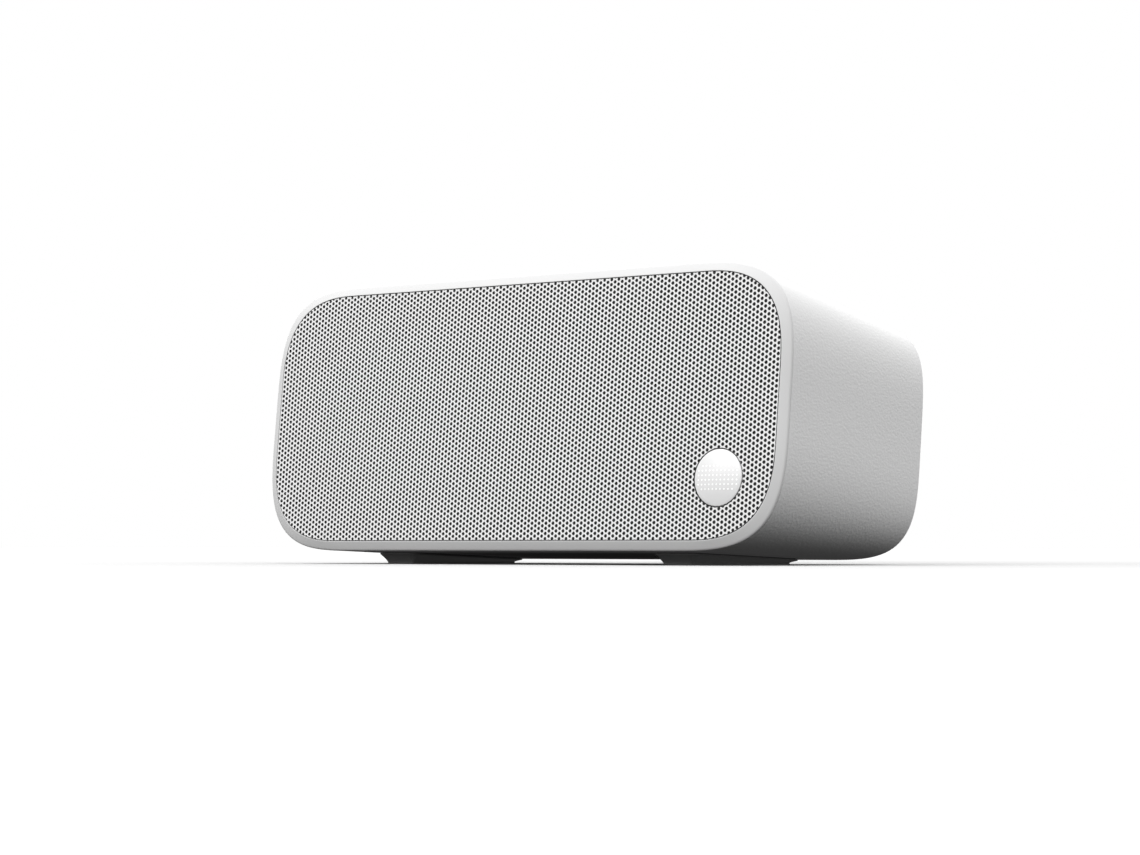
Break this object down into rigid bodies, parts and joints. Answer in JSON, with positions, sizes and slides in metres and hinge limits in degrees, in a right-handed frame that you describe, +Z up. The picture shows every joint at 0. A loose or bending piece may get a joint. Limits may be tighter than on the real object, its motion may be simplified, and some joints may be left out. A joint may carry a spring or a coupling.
{
  "type": "smart speaker",
  "caption": "Leaning oblong smart speaker with a perforated white face, a round dot-display button, a ported rear panel and two runner feet.",
  "frame": {"origin": "on the floor under the middle of the bounding box", "axes": "+X to the listener's right along the face, +Y from the face to the rear panel, +Z up"},
  "size_m": [0.325, 0.144, 0.1424],
  "materials": {
    "cabinet_plastic": "fine leather-like grain, off-white",
    "rim_plastic": "smooth satin white",
    "grille_metal": "satin off-white powder coat, perforated",
    "acoustic_cloth": "open black weave",
    "baffle_plastic": "moulded black",
    "gasket_foam": "closed-cell foam",
    "circuit_board": "green solder mask",
    "led_white": "moulded chip",
    "black_plastic": "moulded black",
    "cap_plastic": "gloss white",
    "light_guide": "milky, lit",
    "pin_metal": "nickel plate",
    "heat_sink_metal": "plain extrusion",
    "capacitor_sleeve": "shrink sleeve",
    "shield_metal": "tinned can",
    "transformer_core": "ferrite and winding",
    "damping_foam": "open-cell foam",
    "lead_jacket": "red lead",
    "foot_rubber": "charcoal",
    "black_screw": "black oxide",
    "plain_screw": "zinc plate",
    "basket_metal": "black coat",
    "plated_steel": "zinc plate",
    "ferrite": "ground ferrite",
    "spider_cloth": "resin-dipped cotton",
    "surround_rubber": "half-roll rubber",
    "cone_pulp": "pressed pulp",
    "copper_coil": "copper winding",
    "dome_silk": "coated silk"
  },
  "bodies": {
    "cabinet": {"cabinet_shell": "cabinet_plastic", "seat_frame": "cabinet_plastic", "screw_posts": "cabinet_plastic", "front_rim": "rim_plastic", "grille": "grille_metal", "grille_cloth": "acoustic_cloth", "baffle": "baffle_plastic", "baffle_gasket": "gasket_foam", "button_housing": "baffle_plastic", "led_board": "circuit_board", "led_chips": "led_white", "tact_switches": "black_plastic", "microphone_board": "circuit_board", "left_woofer_basket": "basket_metal", "left_woofer_top_plate": "plated_steel", "left_woofer_magnet": "ferrite", "left_woofer_yoke": "plated_steel", "left_woofer_spider": "spider_cloth", "left_woofer_surround": "surround_rubber", "right_woofer_basket": "basket_metal", "right_woofer_top_plate": "plated_steel", "right_woofer_magnet": "ferrite", "right_woofer_yoke": "plated_steel", "right_woofer_spider": "spider_cloth", "right_woofer_surround": "surround_rubber", "left_tweeter_faceplate": "black_plastic", "left_tweeter_dome": "dome_silk", "left_tweeter_motor": "plated_steel", "right_tweeter_faceplate": "black_plastic", "right_tweeter_dome": "dome_silk", "right_tweeter_motor": "plated_steel", "rear_panel": "cabinet_plastic", "port_tube": "black_plastic", "mains_inlet": "black_plastic", "inlet_pins": "pin_metal", "amplifier_board": "circuit_board", "heat_sink": "heat_sink_metal", "wireless_module": "shield_metal", "power_board": "circuit_board", "transformer": "transformer_core", "capacitors": "capacitor_sleeve", "left_damping": "damping_foam", "right_damping": "damping_foam", "driver_leads": "lead_jacket", "left_foot": "foot_rubber", "right_foot": "foot_rubber", "baffle_screws": "black_screw", "driver_screws": "black_screw", "rear_screws": "plain_screw", "board_screws": "plain_screw", "foot_screws": "plain_screw"},
    "button": {"button_cap": "cap_plastic", "light_guide": "light_guide", "switch_plungers": "black_plastic"},
    "left_cone": {"left_woofer_cone": "cone_pulp", "left_woofer_dust_cap": "cone_pulp", "left_woofer_voice_coil": "copper_coil"},
    "right_cone": {"right_woofer_cone": "cone_pulp", "right_woofer_dust_cap": "cone_pulp", "right_woofer_voice_coil": "copper_coil"}
  },
  "joints": [
    {"name": "button_press", "type": "slide", "parent": "cabinet", "child": "button", "axis": [0, 0.9942, -0.108], "range_m": [0, 0.0006], "stiffness_N_per_m": 2500},
    {"name": "left_cone_travel", "type": "slide", "parent": "cabinet", "child": "left_cone", "axis": [0, 0.9942, -0.108], "range_m": [-0.002, 0.002], "stiffness_N_per_m": 1500},
    {"name": "right_cone_travel", "type": "slide", "parent": "cabinet", "child": "right_cone", "axis": [0, 0.9942, -0.108], "range_m": [-0.002, 0.002], "stiffness_N_per_m": 1500}
  ]
}
